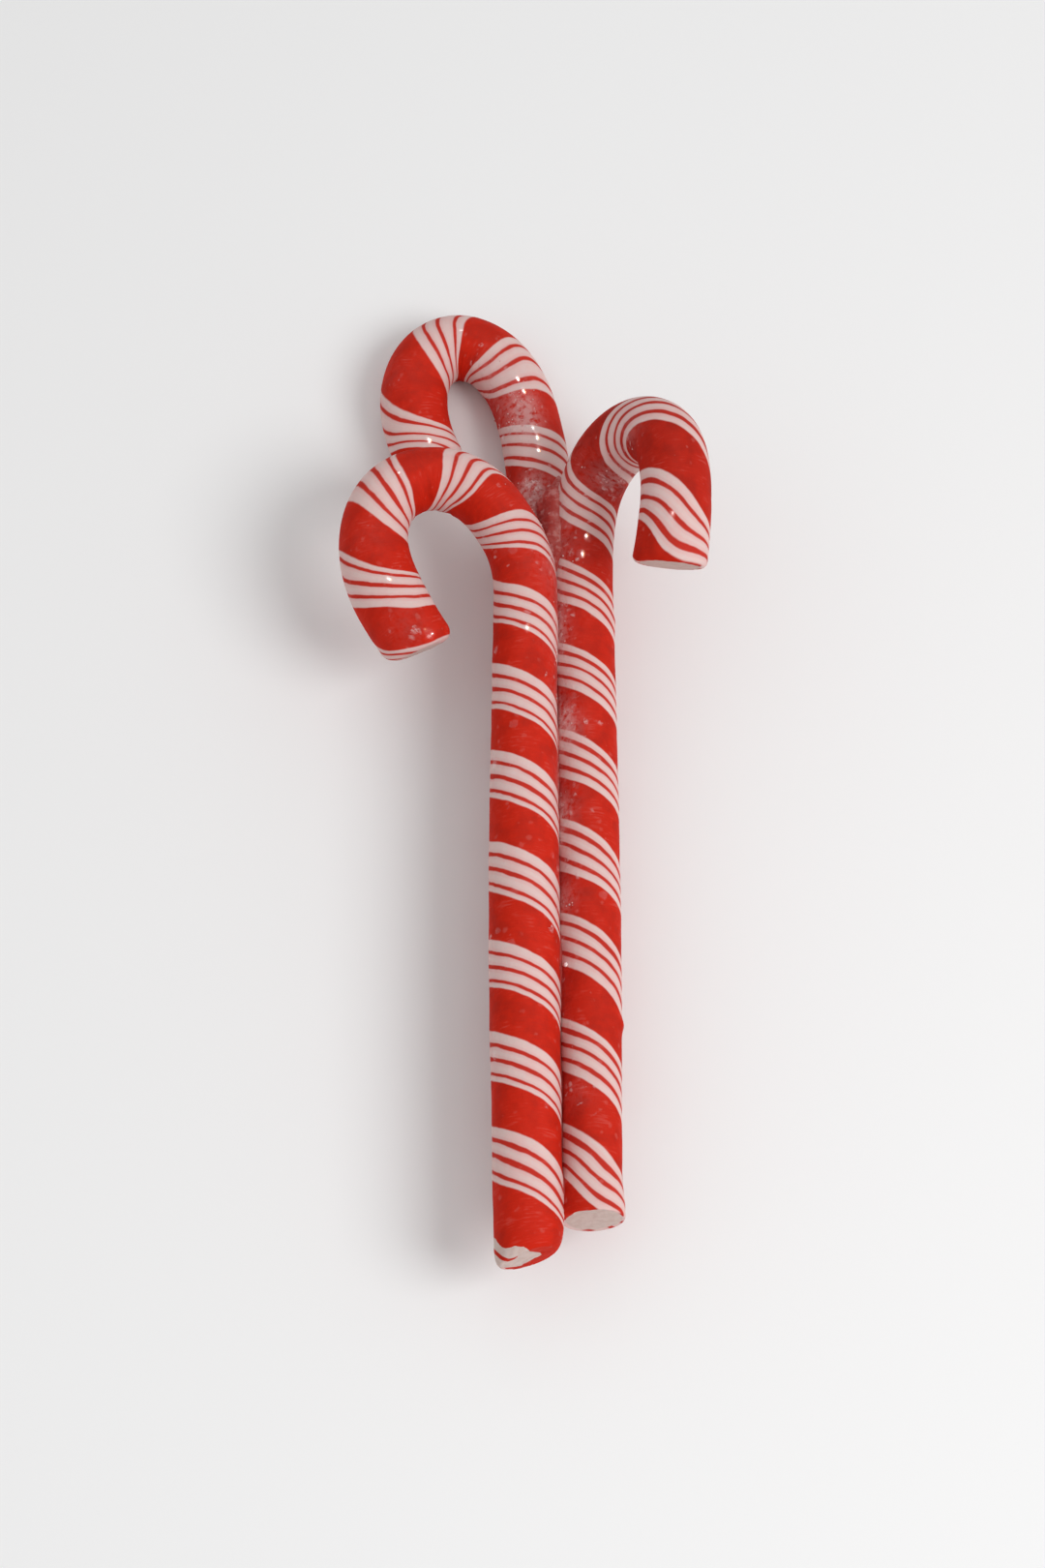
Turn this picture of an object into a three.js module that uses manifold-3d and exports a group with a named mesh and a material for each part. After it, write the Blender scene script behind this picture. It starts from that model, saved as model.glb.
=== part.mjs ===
// Three peppermint candy canes set together with sugar glaze, lying on a table.
// Units are millimetres, +Z is up, +Y runs from the feet to the hooks.
// The origin is on the table, under the middle of the cluster's box.
// The cane at the back lies on the table; the other two lie side by side in the groove over it.

import * as THREE from 'three';
import { mergeVertices } from 'three/addons/utils/BufferGeometryUtils.js';
import Module from 'manifold-3d';

// ---- driving dimensions ------------------------------------------------------------------

// One entry for each cane. Its centreline lies in one plane, the cane's own XY plane:
//   foot       the middle of the cut at the foot
//   heading    degrees that the stem turns to the right of +Y
//   pitch      degrees that the stem climbs towards the hook
//   roll       degrees that the hook's side lifts off the level
//   hand       1 where the hook bends to the right, -1 where it bends to the left
//   stem       length of the nearly straight stem; stemTurn is the bow along it, in degrees
//   hook       length of the hook, measured along its middle
//   bends      curvature in degrees per mm at stations bendGap apart, from the stem's end on
//   thickness  [share of the length, radius] pairs
//   footCut    how the cut at the foot slants: [towards the right, upwards], as slopes
//   footFace   share of the radius left at the cut; 1 is a clean cut
//   footRound  how far from the cut the edge starts to round over
//   tipCut, tipFace and tipRound are the same at the tip of the hook
const CANES = [
  {
    name: 'cane_left', hand: -1,
    foot: [0.66, -84.69, 14.85], heading: -1.25, pitch: 0.9, roll: 4,
    stem: 107.85, stemTurn: -2, hook: 69.5, bendGap: 9,
    bends: [2.7, 2.1, 5.4, 6.85, 3.75, 2.2, 0.7],
    thickness: [[0, 5.05], [0.06, 5.08], [0.3, 5.32], [0.62, 4.97], [0.8, 5.07], [0.94, 5.79], [1, 5.6]],
    footCut: [-0.3, 0.05], footFace: 0.78, footRound: 2.8,
    tipCut: [-0.13, 0.4], tipFace: 0.6, tipRound: 2.3,
  },
  {
    name: 'cane_right', hand: 1,
    foot: [10.16, -77.89, 12.78], heading: 0.17, pitch: 0.75, roll: 50,
    stem: 108.5, stemTurn: -1.7, hook: 61.95, bendGap: 9,
    bends: [1.5, 5.0, 5.9, 5.6, 2.5, 1.15, -0.4],
    thickness: [[0, 4.73], [0.05, 4.39], [0.3, 4.7], [0.62, 4.68], [0.8, 5.38], [0.93, 5.53], [1, 5.82]],
    footCut: [-0.025, 0.05], footFace: 0.96, footRound: 0.75,
    tipCut: [-0.18, 0.19], tipFace: 0.85, tipRound: 1.1,
  },
  {
    name: 'cane_back', hand: -1,
    foot: [4.36, -59.67, 4.95], heading: -0.45, pitch: 0, roll: 0,
    stem: 107, stemTurn: 0.9, hook: 68, bendGap: 10,
    bends: [0.8, 1.05, 3.2, 9.95, 3.6, 1.8, 1.5],
    thickness: [[0, 5.1], [0.3, 5.2], [0.75, 5.2], [0.9, 5.54], [1, 5.4]],
    footCut: [0.05, 0], footFace: 0.92, footRound: 1.2,
    tipCut: [0, 0], tipFace: 0.65, tipRound: 3,
  },
];

// The glaze runs as a bead between the stems and swells where the three hooks part.
const GLAZE = {
  name: 'set_glaze',
  from: [4.8, 0.8, 10.6], to: [5.6, 50.8, 13],
  thickness: [[0, 0.6], [0.2, 1], [0.45, 1.7], [0.7, 4], [0.88, 3.6], [1, 0.8]],
};

const SEAM = 0.3;            // gap between the glaze and each cane
const SIDES = 24;            // faces round a cane
const GLAZE_SIDES = 14;
const STEM_STEP = 5;         // ring spacing along a stem
const HOOK_STEP = 1.6;       // ring spacing round a hook
const GLAZE_STEP = 3;
const CUT_REACH = 7;         // how far a slanting cut pulls the rings behind it
const EDGE_RINGS = [0, 0.1, 0.35, 1];   // rings of a rounded edge, as shares of its reach
const FLOW_STEP = 0.25;      // step of the sum that bends the centreline

const PEPPERMINT_RED = 0xb82318;
const GLAZE_PINK = 0xd9a9a2;

// ---- shape of a cane ---------------------------------------------------------------------

// Smooth value at x in a list of [position, value] pairs.
function profile(pairs, x) {
  let i = 0;
  while (i < pairs.length - 2 && x > pairs[i + 1][0]) i += 1;
  const [x0, v0] = pairs[i];
  const [x1, v1] = pairs[i + 1];
  return THREE.MathUtils.lerp(v0, v1, THREE.MathUtils.smoothstep(x, x0, x1));
}

// Curvature of the centreline, in degrees per mm, at distance s from the foot.
function curvature(cane, s) {
  const knots = [cane.stemTurn / cane.stem, ...cane.bends];
  const station = THREE.MathUtils.clamp((s - cane.stem) / cane.bendGap, 0, knots.length - 1.001);
  const i = Math.floor(station);
  return THREE.MathUtils.lerp(knots[i], knots[i + 1], station - i);
}

// The centreline at the given distances: position, direction and the direction across.
function centreline(cane, distances) {
  const line = [];
  let s = 0;
  let x = 0;
  let y = 0;
  let turn = 0;
  for (const distance of distances) {
    const steps = Math.max(1, Math.ceil((distance - s) / FLOW_STEP));
    const ds = (distance - s) / steps;
    for (let k = 0; k < steps; k += 1) {
      const bend = THREE.MathUtils.degToRad(curvature(cane, s + ds / 2)) * ds;
      x += cane.hand * Math.sin(turn + bend / 2) * ds;
      y += Math.cos(turn + bend / 2) * ds;
      turn += bend;
      s += ds;
    }
    line.push({
      middle: new THREE.Vector3(x, y, 0),
      along: new THREE.Vector3(cane.hand * Math.sin(turn), Math.cos(turn), 0),
      across: new THREE.Vector3(Math.cos(turn), -cane.hand * Math.sin(turn), 0),
    });
  }
  return line;
}

// Distances of the rings: even steps, with closer rings where the ends round over.
function ringDistances(cane) {
  const length = cane.stem + cane.hook;
  const distances = EDGE_RINGS.map((share) => share * cane.footRound);
  const steps = (from, to, step) => {
    const count = Math.round((to - from) / step);
    for (let k = 1; k <= count; k += 1) distances.push(from + ((to - from) * k) / count);
  };
  steps(cane.footRound, cane.stem, STEM_STEP);
  steps(cane.stem, length - cane.tipRound, HOOK_STEP);
  for (const share of EDGE_RINGS.slice(0, -1).reverse()) distances.push(length - share * cane.tipRound);
  return distances;
}

// Share of the full radius at distance d from a cut whose face keeps the share given.
function rounding(face, reach, d) {
  const rise = THREE.MathUtils.clamp(d / reach, 0, 1);
  return face + (1 - face) * Math.sqrt(1 - (1 - rise) ** 2);
}

// A cane in its own plane, grown by a margin: a cylinder bent along the centreline.
function caneGeometry(cane, grow = 0) {
  const length = cane.stem + cane.hook;
  const distances = ringDistances(cane);
  const line = centreline(cane, distances);
  const geometry = mergedCylinder(SIDES, distances.length - 1);
  const place = geometry.getAttribute('position');
  for (let i = 0; i < place.count; i += 1) {
    const ring = Math.round((place.getY(i) + 0.5) * (distances.length - 1));
    const s = distances[ring];
    const { middle, along, across } = line[ring];
    const round = Math.min(
      rounding(cane.footFace, cane.footRound, s),
      rounding(cane.tipFace, cane.tipRound, length - s),
    );
    const radius = profile(cane.thickness, s / length) * round + grow;
    const right = place.getX(i) * radius;
    const up = place.getZ(i) * radius;
    const footPull = Math.max(0, 1 - s / CUT_REACH) * (cane.footCut[0] * right + cane.footCut[1] * up);
    const tipPull = Math.max(0, 1 - (length - s) / CUT_REACH) * (cane.tipCut[0] * right + cane.tipCut[1] * up);
    const endPush = (s === length ? grow : 0) - (s === 0 ? grow : 0);
    const point = middle.clone()
      .addScaledVector(across, right)
      .addScaledVector(along, tipPull - footPull + endPush);
    place.setXYZ(i, point.x, point.y, up);
  }
  return geometry;
}

// A closed unit cylinder along Y whose vertices are shared.
function mergedCylinder(sides, rings) {
  const geometry = new THREE.CylinderGeometry(1, 1, 1, sides, rings);
  geometry.deleteAttribute('normal');
  geometry.deleteAttribute('uv');
  return mergeVertices(geometry, 1e-5);
}

// Where the cane lies: its foot, heading, climb and the roll of its plane.
function layOut(object, cane) {
  object.position.set(...cane.foot);
  object.rotation.set(
    THREE.MathUtils.degToRad(cane.pitch),
    THREE.MathUtils.degToRad(-cane.hand * cane.roll),
    THREE.MathUtils.degToRad(-cane.heading),
    'ZXY',
  );
  object.updateMatrixWorld();
}

// Presses flat what would reach under the table.
function restOnTable(geometry, height) {
  const place = geometry.getAttribute('position');
  for (let i = 0; i < place.count; i += 1) {
    place.setZ(i, Math.max(place.getZ(i), -height));
  }
}

function caneMesh(cane) {
  const geometry = caneGeometry(cane);
  if (cane.pitch === 0 && cane.roll === 0) restOnTable(geometry, cane.foot[2]);
  geometry.computeVertexNormals();
  const material = new THREE.MeshStandardMaterial({ color: PEPPERMINT_RED, roughness: 0.42, metalness: 0 });
  const mesh = new THREE.Mesh(geometry, material);
  mesh.name = cane.name;
  layOut(mesh, cane);
  return mesh;
}

// ---- set glaze ---------------------------------------------------------------------------

const manifold = await Module();
manifold.setup();

function toSolid(geometry) {
  return new manifold.Manifold(new manifold.Mesh({
    numProp: 3,
    vertProperties: Float32Array.from(geometry.getAttribute('position').array),
    triVerts: Uint32Array.from(geometry.getIndex().array),
  }));
}

function fromSolid(solid) {
  const { vertProperties, triVerts } = solid.getMesh();
  const geometry = new THREE.BufferGeometry();
  geometry.setAttribute('position', new THREE.Float32BufferAttribute(vertProperties, 3));
  geometry.setIndex(Array.from(triVerts));
  return geometry;
}

// The bead before the canes are cut from it.
function beadGeometry() {
  const from = new THREE.Vector3(...GLAZE.from);
  const to = new THREE.Vector3(...GLAZE.to);
  const rings = Math.round(from.distanceTo(to) / GLAZE_STEP);
  const geometry = mergedCylinder(GLAZE_SIDES, rings);
  const place = geometry.getAttribute('position');
  for (let i = 0; i < place.count; i += 1) {
    const share = place.getY(i) + 0.5;
    const radius = profile(GLAZE.thickness, share);
    const middle = from.clone().lerp(to, share);
    place.setXYZ(i, middle.x + place.getX(i) * radius, middle.y, middle.z + place.getZ(i) * radius);
  }
  return geometry;
}

function grownCane(cane) {
  const geometry = caneGeometry(cane, SEAM);
  const pose = new THREE.Object3D();
  layOut(pose, cane);
  geometry.applyMatrix4(pose.matrixWorld);
  return toSolid(geometry);
}

function glazeMesh() {
  const bead = CANES.reduce((solid, cane) => solid.subtract(grownCane(cane)), toSolid(beadGeometry()));
  const geometry = fromSolid(bead);
  geometry.computeVertexNormals();
  const material = new THREE.MeshStandardMaterial({ color: GLAZE_PINK, roughness: 0.5, metalness: 0 });
  const mesh = new THREE.Mesh(geometry, material);
  mesh.name = GLAZE.name;
  return mesh;
}

// ---- the cluster -------------------------------------------------------------------------

const cluster = new THREE.Group();
cluster.add(...CANES.map(caneMesh), glazeMesh());

export default cluster;
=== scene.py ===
"""Three striped peppermint candy canes, set together with sugar glaze, lying on a pale table.

Each cane is a tube swept along a bent centreline, by the same sizes as its solid. Sizes here are in
millimetres, as in the solids; the meshes are written in metres. Round a cane, an angle of 0 is the top
of the cane's own plane, and 90 degrees is the inside of the hook.
"""

import math

import bpy
import numpy as np
from mathutils import Euler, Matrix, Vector


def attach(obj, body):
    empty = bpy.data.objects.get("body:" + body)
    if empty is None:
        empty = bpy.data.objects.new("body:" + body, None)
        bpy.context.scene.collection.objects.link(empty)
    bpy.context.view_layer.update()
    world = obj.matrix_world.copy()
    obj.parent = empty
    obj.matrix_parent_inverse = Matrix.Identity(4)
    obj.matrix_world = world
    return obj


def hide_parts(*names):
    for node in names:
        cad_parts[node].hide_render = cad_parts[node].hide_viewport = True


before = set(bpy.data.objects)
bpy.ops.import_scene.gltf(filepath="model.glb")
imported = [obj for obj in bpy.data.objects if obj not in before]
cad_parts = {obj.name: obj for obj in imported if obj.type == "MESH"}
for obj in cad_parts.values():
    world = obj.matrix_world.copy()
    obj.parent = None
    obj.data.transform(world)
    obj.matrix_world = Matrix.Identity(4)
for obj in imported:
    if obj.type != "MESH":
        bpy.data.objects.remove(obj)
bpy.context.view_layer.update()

MM = 0.001
TAU = 2 * math.pi

# ---- the canes ---------------------------------------------------------------------------
#
# The lines down to tip_cut repeat the solid's sizes. Angles are in degrees.
#   hand       the side that the hook bends to: 1 is right, -1 is left
#   foot       the middle of the foot's face, with the stem's heading, pitch and roll
#   stem       the stem's length, with how far it turns on the way; hook is the length past it
#   bends      degrees of bend a mm, at every bend_gap mm past the end of the stem
#   thickness  [share of the length, radius]
#   foot_cut   the slant of the cut face: [slope across, slope upwards]
#   foot_face  share of the radius that the flat face keeps; foot_round is how far its edge is rounded
# The lines after them are the candy's own. A distance is from the foot, along the cane.
#   groups     where each white group starts and ends along the top line
#   lines      the thin red lines inside a white group: [place, width], as shares of the group
#   lean       [distance, a, b, c]: how the stripes depart from an even spiral, in turns, as
#              a sin(angle) + b (1 - cos(angle)) + c sin(2 angle)
#   deep       [share of the length, how far the red is darkened there]
#   frost      patches of frost: [distance, angle, reach, strength]
#   lumps      small lumps on the skin: [distance, angle, reach, height]
#   wet        small spots that shine: [distance, angle]
#   rim        how far the white core sits off the middle at the foot's face: [across, up]

PITCH = 15.8               # length of one turn of the spiral where no group is stated
GROUP = 0.52               # a white group's share of one turn

CANES = {
    "cane_left": dict(
        hand=-1, foot=(0.66, -84.69, 14.85), heading=-1.25, pitch=0.9, roll=4,
        stem=107.85, stem_turn=-2, hook=69.5, bend_gap=9,
        bends=(2.7, 2.1, 5.4, 6.85, 3.75, 2.2, 0.7),
        thickness=((0, 5.05), (0.06, 5.08), (0.3, 5.32), (0.62, 4.97), (0.8, 5.07), (0.94, 5.79), (1, 5.6)),
        foot_cut=(-0.3, 0.05), foot_face=0.78, foot_round=2.8,
        tip_cut=(-0.13, 0.4), tip_face=0.6, tip_round=2.3,
        groups=((7.8, 16.9), (24.2, 32.1), (39.6, 47.1), (54.9, 63.6), (71.1, 79.4), (86.6, 94.6),
                (102.1, 109.6), (117, 123.9), (130.6, 137.9), (144.5, 154.7), (164.5, 171.7), (177, 182.5)),
        lines=((0.144, 0.074), (0.443, 0.096), (0.737, 0.088)),
        lean=((0, 0, 0, 0), (100, 0, 0.01, 0), (110, 0, 0.03, -0.02), (120, 0.04, 0.05, -0.055),
              (130, 0.05, -0.03, -0.13), (140, -0.08, 0, -0.06), (150, -0.075, 0, 0.045),
              (160, 0, -0.13, 0.04), (170, -0.06, -0.24, 0.05), (176, -0.15, -0.12, 0)),
        deep=((0, 0), (1, 0)),
        frost=((60, -88, 4, 0.25), (78, -88, 4, 0.3), (92, -85, 4, 0.35), (104, -80, 5, 0.4),
               (114, -62, 4, 0.3), (119, 33, 3, 0.15), (158, -16, 4, 0.12), (174.4, -18, 4, 0.22)),
        lumps=(),
        wet=((166.4, -5), (102.4, -3), (175.9, 8)),
        rim=(0, 0),
    ),
    "cane_right": dict(
        hand=1, foot=(10.16, -77.89, 12.78), heading=0.17, pitch=0.75, roll=50,
        stem=108.5, stem_turn=-1.7, hook=61.95, bend_gap=9,
        bends=(1.5, 5.0, 5.9, 5.6, 2.5, 1.15, -0.4),
        thickness=((0, 4.73), (0.05, 4.39), (0.3, 4.7), (0.62, 4.68), (0.8, 5.38), (0.93, 5.53), (1, 5.82)),
        foot_cut=(-0.025, 0.05), foot_face=0.96, foot_round=0.75,
        tip_cut=(-0.18, 0.19), tip_face=0.85, tip_round=1.1,
        groups=((4.9, 13.9), (22.3, 30.9), (39.7, 48.5), (55.6, 64.7), (71.9, 80.4), (88, 95.8),
                (103.4, 111.3), (118.9, 127.3), (136.5, 145.7), (155.7, 165.3)),
        lines=((0.228, 0.092), (0.515, 0.086), (0.793, 0.108)),
        lean=((0, -0.04, -0.09, -0.075), (14, 0.01, -0.03, 0), (100, -0.045, 0, 0.01),
              (110, -0.06, -0.01, 0), (120, -0.03, -0.01, -0.03), (130, -0.02, -0.02, -0.035),
              (140, -0.01, 0.04, -0.035), (150, 0.025, 0.07, -0.02), (160, 0.02, 0.1, 0.01),
              (170, -0.03, 0.03, -0.1)),
        deep=((0, 0.1), (0.6, 0.06), (0.68, 0.15), (0.76, 0.5), (0.88, 0.4), (1, 0.2)),
        frost=((19, 20, 3, 0.25), (51, -8, 3, 0.5), (66, -12, 3.5, 0.6), (80, 5, 3, 0.7), (83, -15, 3, 0.8),
               (97, -25, 3, 0.8), (101, -30, 3, 0.7), (112, -45, 4, 0.6), (119, -35, 3.5, 0.5),
               (127, 80, 3, 0.4), (129, 105, 4, 0.4), (133, 88, 3.5, 0.5), (138, 64, 2.5, 0.4),
               (144.8, 18, 3.5, 0.45)),
        lumps=((31, 128, 1.1, 0.4), (101, 140, 1.5, 0.15)),
        wet=((111.2, 45), (120.3, 72), (114.3, 60), (164.5, -43), (40, -6)),
        rim=(0.36, 0.02),
    ),
    "cane_back": dict(
        hand=-1, foot=(4.36, -59.67, 4.95), heading=-0.45, pitch=0, roll=0,
        stem=107, stem_turn=0.9, hook=68, bend_gap=10,
        bends=(0.8, 1.05, 3.2, 9.95, 3.6, 1.8, 1.5),
        thickness=((0, 5.1), (0.3, 5.2), (0.75, 5.2), (0.9, 5.54), (1, 5.4)),
        foot_cut=(0.05, 0), foot_face=0.92, foot_round=1.2,
        tip_cut=(0, 0), tip_face=0.65, tip_round=3,
        groups=((97.8, 105.2), (113.4, 121.8), (129.1, 139.1), (145.1, 153.1), (166.6, 173.2)),
        lines=((0.19, 0.084), (0.52, 0.08), (0.79, 0.076)),
        lean=((100, 0, 0, 0), (115, -0.045, 0.065, 0.01), (125, -0.06, 0.07, 0),
              (135, -0.08, 0.04, -0.06), (145, -0.05, 0.01, -0.04), (155, 0, -0.02, 0),
              (165, 0.035, -0.09, 0), (175, 0.07, -0.11, 0.05)),
        deep=((0, 0.2), (0.66, 0.2), (0.76, 0), (1, 0)),
        frost=((105, 30, 3, 0.7), (108, 20, 3, 0.8), (111, 12, 3, 0.6), (119, 12, 2.5, 0.35),
               (122, 8, 3, 0.5), (124.5, 14, 3, 0.45), (127, 4, 2.5, 0.5), (126, 50, 5, 0.35),
               (133, 60, 5, 0.4), (137.6, 42, 3, 0.3), (158, -42, 4, 0.15)),
        lumps=(),
        wet=((117.5, -2), (119.9, -5), (121.9, 5), (128.9, 3), (131.6, 6), (171.3, -1)),
        rim=(0, 0.1),
    ),
}

SIDES = 120                # faces round a cane
RING_STEP = 0.26           # spacing of the rings
FACE_RINGS = 20            # rings across a cut face
EDGE_RINGS = 9             # rings round the edge of a cut face
CUT_REACH = 7              # how far a slanting cut pulls the rings behind it
FLOW_STEP = 0.1            # step of the sum that bends the centreline
SKIN = 0.34                # thickness of the coloured skin round the white core
SKIN_RAGGED = ((0.34, 0.4, 8.3), (0.12, 1.1, 4.4))     # its edge: [height, scale, shift] of noise
FACE_ROUGH = ((0.09, 0.6, 2.2), (0.04, 1.9, 4.1))      # the same for the cut faces
SKIN_WAVES = ((0.06, 0.16, 3.1), (0.035, 0.45, 9.7))   # and for the skin
STRIPE_HEIGHT = 0.04       # how far the middle of a white group stands proud
LINE_DEPTH = 0.03          # how deep a thin red line lies
CREASE_HEIGHT = 0.16       # creases on the inside of the hook
CREASE_BEND = 0.055        # they start where the cane bends this sharply, in radians a mm
MEETING_SWELL = 0.65       # how far a skin would swell where it touches another cane
MEETING_REACH = 0.55       # the gap over which that dies away
MEETING_PRESS = 0.1        # how far a swollen skin may pass the middle of the gap
WET_REACH = 0.9            # size of a spot that shines
WET_HEIGHT = 0.1           # how far it swells

# The left cane's foot is torn: the white core shows inside the outline, and a red sliver lies over
# it. Places are [to the right, up along a line from straight ahead to straight up], in mm.
TORN_CORE = ((-7, 4.1), (-5, 2.9), (-4.4, 2.1), (-3.7, 1.75), (-3, 1.9), (-2.3, 2.2), (-0.9, 2.15),
             (-0.35, 1.7), (0, 1.35), (0.7, 1.15), (1.6, 0.95), (1.95, 0.5), (1.4, 0.1), (0.9, -0.1),
             (0.45, -0.45), (0, -0.75), (-0.5, -1.05), (-0.9, -1.4), (-1.6, -1.5), (-7, -1.5))
RED_SLIVER = ((-6.2, 1.9), (-5, 1.0), (-4.1, 0.3), (-3.1, -0.05), (-2.3, 0.15), (-1.7, 0.6))
SLIVER_WIDTH = (0.2, 0.26, 0.3, 0.3, 0.2, 0.04)
SEEN_AHEAD, SEEN_UP = 0.88, 0.47    # the direction of that line, for steps ahead and up
TORN_REACH = 4             # how far up the stem the tear can reach
TORN_UNDER = -1.5          # it stops this far below the middle
TORN_PULL = 0.16           # how far the stripes are drawn towards the torn foot, in turns
PULL_FROM, PULL_FADE = 6, 3         # from this far up the stem, and in full this much nearer the foot


def smooth(x):
    """Smoothstep of x, clipped to 0 and 1."""
    x = np.clip(x, 0, 1)
    return x * x * (3 - 2 * x)


def profile(pairs, x):
    """Smooth value at x in a list of (position, value) pairs."""
    value = np.full(np.shape(x), float(pairs[0][1]))
    for (x0, v0), (x1, v1) in zip(pairs[:-1], pairs[1:]):
        value = np.where(x > x0, v0 + (v1 - v0) * smooth((x - x0) / (x1 - x0)), value)
    return value


def rounding(face, reach, distance):
    """Share of the full radius at this distance from a cut whose face keeps the share given."""
    rise = np.clip(distance / reach, 0, 1)
    return face + (1 - face) * np.sqrt(1 - (1 - rise) ** 2)


# ---- noise -------------------------------------------------------------------------------

LATTICE_SIDE = 64
LATTICE = np.random.default_rng(7).uniform(-1, 1, (LATTICE_SIDE,) * 3)


def noise(points, scale, shift=0.0):
    """Smooth random values from -1 to 1 at an array of points, with features 1 / scale long."""
    place = np.asarray(points, float) * scale + shift
    cell = np.floor(place).astype(int)
    part = smooth(place - cell)
    total = 0
    for corner in np.ndindex(2, 2, 2):
        at = (cell + corner) % LATTICE_SIDE
        share = np.prod(np.where(corner, part, 1 - part), axis=-1)
        total = total + share * LATTICE[at[..., 0], at[..., 1], at[..., 2]]
    return total


def layers(points, heights):
    """Sum of layers of noise, [height, scale, shift] each."""
    return sum(height * noise(points, scale, shift) for height, scale, shift in heights)


# ---- a cane's place and shape ------------------------------------------------------------

class Cane:
    """One cane: where its centreline runs and which way is across and up along it."""

    def __init__(self, name, sizes):
        self.name = name
        self.__dict__.update(sizes)
        self.length = self.stem + self.hook
        steps = round(self.length / FLOW_STEP)
        self.flow = np.linspace(0, self.length, steps + 1)
        step = self.flow[1]
        knots = np.array((self.stem_turn / self.stem,) + self.bends)
        stations = (self.flow[:-1] + step / 2 - self.stem) / self.bend_gap
        bend = np.radians(np.interp(stations, np.arange(len(knots)), knots)) * step
        self.bending = np.append(bend / step, bend[-1] / step)
        self.turns = np.concatenate([[0], np.cumsum(bend)])
        middle = self.turns[:-1] + bend / 2
        moves = np.stack([self.hand * np.sin(middle), np.cos(middle)], 1) * step
        self.track = np.concatenate([[[0, 0]], np.cumsum(moves, 0)])
        angles = [math.radians(a) for a in (self.pitch, -self.hand * self.roll, -self.heading)]
        self.axes = np.array(Euler(angles, "YXZ").to_matrix())

    def centre(self, s):
        """Centreline points, and the directions along and across, at distances s from the foot."""
        x = np.interp(s, self.flow, self.track[:, 0])
        y = np.interp(s, self.flow, self.track[:, 1])
        turn = np.interp(s, self.flow, self.turns)
        flat = np.zeros_like(x)
        middle = np.stack([x, y, flat], -1) @ self.axes.T + np.array(self.foot)
        along = np.stack([self.hand * np.sin(turn), np.cos(turn), flat], -1) @ self.axes.T
        across = np.stack([np.cos(turn), -self.hand * np.sin(turn), flat], -1) @ self.axes.T
        return middle, along, across

    def outward(self, across, angle):
        """Directions out of the skin, at angles round the cane."""
        return across * (self.hand * np.sin(angle))[:, None] + self.axes[:, 2] * np.cos(angle)[:, None]

    def radius(self, s):
        """Radius of the plain tube at distances s, with its rounded ends."""
        edge = np.minimum(
            rounding(self.foot_face, self.foot_round, s),
            rounding(self.tip_face, self.tip_round, self.length - s),
        )
        return profile(self.thickness, s / self.length) * edge

    def curvature(self, s):
        """Curvature of the centreline at s, in radians per mm."""
        return np.interp(s, self.flow, self.bending)

    def spiral(self, s, angle):
        """Turns of the stripes' spiral: a whole number is the middle of a white group."""
        ends = np.array(self.groups, float)
        turns = np.arange(len(ends))[:, None] + np.array([-GROUP / 2, GROUP / 2])
        along = interp_on(s, ends.ravel(), turns.ravel(), PITCH)
        knots = np.array(self.lean)
        a, b, c = (profile(list(zip(knots[:, 0], knots[:, k])), s) for k in (1, 2, 3))
        even = self.hand * angle / TAU
        lean = a * np.sin(angle) + b * (1 - np.cos(angle)) + c * np.sin(2 * angle)
        pull = 0
        if self.name == "cane_left":
            pull = TORN_PULL * smooth((PULL_FROM - s) / PULL_FADE) * smooth(2 * np.sin(angle) + 0.8)
        return along + even - lean + pull


def interp_on(x, xs, ys, pitch):
    """Steady cubic through the points, and straight on past them at one unit per pitch."""
    slopes = np.diff(ys) / np.diff(xs)
    middle = 2 * slopes[1:] * slopes[:-1] / (slopes[1:] + slopes[:-1])
    tangents = np.concatenate([[1 / pitch], middle, [1 / pitch]])
    k = np.clip(np.searchsorted(xs, x) - 1, 0, len(xs) - 2)
    gap = xs[k + 1] - xs[k]
    t = np.clip((x - xs[k]) / gap, 0, 1)
    value = (
        (2 * t**3 - 3 * t**2 + 1) * ys[k]
        + (t**3 - 2 * t**2 + t) * gap * tangents[k]
        + (3 * t**2 - 2 * t**3) * ys[k + 1]
        + (t**3 - t**2) * gap * tangents[k + 1]
    )
    beyond = np.minimum(x - xs[0], 0) + np.maximum(x - xs[-1], 0)
    return value + beyond / pitch


canes = {name: Cane(name, sizes) for name, sizes in CANES.items()}


BATCH = 4000               # points that are measured at once


def gap_to(points, names, step=0.5):
    """Distance from each point to the nearest surface of the named canes, below 0 inside one."""
    nearest = np.full(len(points), np.inf)
    for name in names:
        cane = canes[name]
        s = np.arange(0, cane.length + step, step).clip(0, cane.length)
        middle = cane.centre(s)[0]
        radius = profile(cane.thickness, s / cane.length)
        for start in range(0, len(points), BATCH):
            part = slice(start, start + BATCH)
            away = np.linalg.norm(points[part, None] - middle, axis=2) - radius
            nearest[part] = np.minimum(nearest[part], away.min(1))
    return nearest


# ---- mesh making -------------------------------------------------------------------------

def new_piece(name, points, faces, replaces=None):
    """A smooth mesh piece from points in mm, riding on the root body."""
    mesh = bpy.data.meshes.new(name)
    mesh.from_pydata(np.asarray(points) * MM, [], faces)
    mesh.polygons.foreach_set("use_smooth", [True] * len(mesh.polygons))
    piece = bpy.data.objects.new(name, mesh)
    bpy.context.scene.collection.objects.link(piece)
    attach(piece, "root")
    if replaces:
        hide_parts(replaces)
    return piece


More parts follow.
